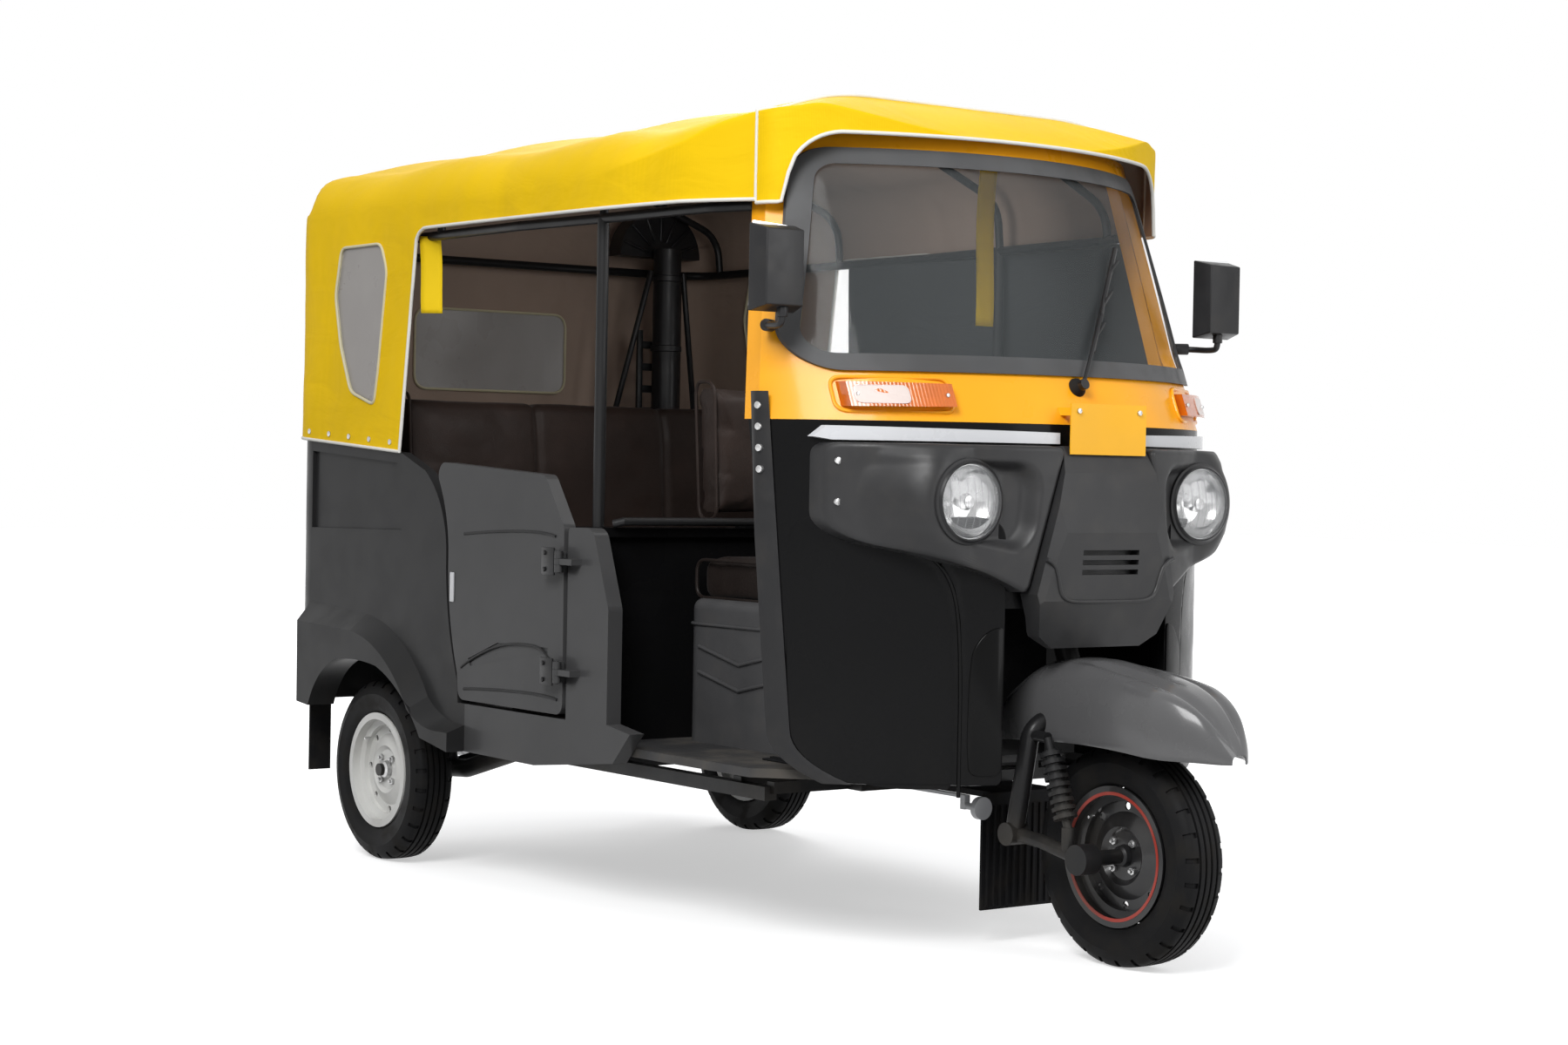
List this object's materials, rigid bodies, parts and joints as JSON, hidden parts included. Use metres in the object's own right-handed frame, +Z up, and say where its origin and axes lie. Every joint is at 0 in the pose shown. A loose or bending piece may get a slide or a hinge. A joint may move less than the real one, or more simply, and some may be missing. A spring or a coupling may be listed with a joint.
{
  "type": "auto rickshaw",
  "caption": "Three-wheeled passenger vehicle with a canvas hood, curved windscreen, half doors, bench seat, steered front wheel and turning rear wheels.",
  "frame": {"origin": "on the ground under the middle of the vehicle's box, where the three tyres stand", "axes": "-Y forward, +X the vehicle's left, +Z up"},
  "size_m": [1.336, 2.78, 1.7735],
  "materials": {
    "amber_lens": "clear-coated lens",
    "black_plastic": "satin moulding",
    "bright_trim": "bright plated",
    "clear_glass": "clear laminated glass",
    "clear_vinyl": "clear flexible vinyl, hazy",
    "curtain_cloth": "coated cloth",
    "damper_steel": "worn steel",
    "engine_metal": "cast casing, oily",
    "flap_rubber": "flexible sheet",
    "floor_paint": "dusty floor sheet",
    "grey_plastic": "grained moulding",
    "hood_canvas": "coated canvas",
    "lamp_glass": "clear lens",
    "mirror_face": "silvered glass",
    "paint_black": "gloss enamel, dusty",
    "paint_grey": "semi-gloss enamel, scuffed and dusty",
    "paint_yellow": "gloss enamel, slightly worn",
    "plate_paint": "blank reflective plate",
    "red_lens": "clear-coated lens",
    "reflector": "polished reflector",
    "rim_black": "painted pressed steel",
    "rim_white": "painted pressed steel",
    "seal_rubber": "matte extruded rubber",
    "seat_vinyl": "vinyl upholstery",
    "tube_black": "satin black steel",
    "tyre": "dusty tread rubber"
  },
  "bodies": {
    "chassis": {"bench_back": "seat_vinyl", "bench_base": "paint_grey", "bench_cushion": "seat_vinyl", "bright_strips": "bright_trim", "bulkhead": "paint_grey", "cab_surround": "paint_yellow", "chassis_frame": "tube_black", "dashboard": "black_plastic", "door_post_left": "paint_grey", "door_post_right": "paint_grey", "driver_backrest": "seat_vinyl", "driver_cushion": "seat_vinyl", "driver_seat_box": "grey_plastic", "engine": "engine_metal", "floor_pan": "floor_paint", "front_plate": "plate_paint", "front_signals": "amber_lens", "headlamp_bezels": "grey_plastic", "headlamp_bowls": "reflector", "headlamp_lenses": "lamp_glass", "hood_frame": "tube_black", "hood_front": "hood_canvas", "hood_main": "hood_canvas", "hood_windows": "clear_vinyl", "horn": "damper_steel", "intake_tower": "black_plastic", "leg_shields": "paint_black", "mirror_glasses": "mirror_face", "mirror_housings": "black_plastic", "mud_flaps": "flap_rubber", "nose_panel": "grey_plastic", "quarter_panel_left": "paint_grey", "quarter_panel_right": "paint_grey", "rear_bumper": "tube_black", "rear_dampers": "damper_steel", "rear_panel": "paint_grey", "rear_suspension": "tube_black", "side_curtain": "curtain_cloth", "tail_lamps": "red_lens", "windscreen_glass": "clear_glass", "windscreen_seal": "seal_rubber", "wiper": "black_plastic"},
    "steering": {"steering_fork": "paint_black", "front_damper": "damper_steel", "handlebar": "tube_black", "front_fender": "black_plastic"},
    "front_wheel": {"front_tyre": "tyre", "front_rim": "rim_black"},
    "rear_wheel_right": {"rear_right_tyre": "tyre", "rear_right_rim": "rim_white"},
    "rear_wheel_left": {"rear_left_tyre": "tyre", "rear_left_rim": "rim_white"},
    "door_right": {"half_door_right": "paint_grey"},
    "door_left": {"half_door_left": "paint_grey"},
    "hatch": {"engine_hatch": "paint_grey"}
  },
  "joints": [
    {"name": "steering", "type": "hinge", "parent": "chassis", "child": "steering", "pos_m": [0, -1.12, 0], "axis": [0, 0.3714, 0.9285], "range_deg": [-38, 38]},
    {"name": "front_wheel_spin", "type": "hinge", "parent": "steering", "child": "front_wheel", "pos_m": [0, -1.07, 0.218], "axis": [1, 0, 0], "continuous": true},
    {"name": "rear_wheel_right_spin", "type": "hinge", "parent": "chassis", "child": "rear_wheel_right", "pos_m": [-0.55, 0.93, 0.218], "axis": [1, 0, 0], "continuous": true},
    {"name": "rear_wheel_left_spin", "type": "hinge", "parent": "chassis", "child": "rear_wheel_left", "pos_m": [0.55, 0.93, 0.218], "axis": [1, 0, 0], "continuous": true},
    {"name": "door_right_hinge", "type": "hinge", "parent": "chassis", "child": "door_right", "pos_m": [-0.644, 0.035, 0.64], "axis": [0, 0, 1], "range_deg": [0, 85]},
    {"name": "door_left_hinge", "type": "hinge", "parent": "chassis", "child": "door_left", "pos_m": [0.644, 0.035, 0.64], "axis": [0, 0, -1], "range_deg": [0, 85]},
    {"name": "hatch_hinge", "type": "hinge", "parent": "chassis", "child": "hatch", "pos_m": [0, 1.366, 0.784], "axis": [1, 0, 0], "range_deg": [0, 100]}
  ]
}
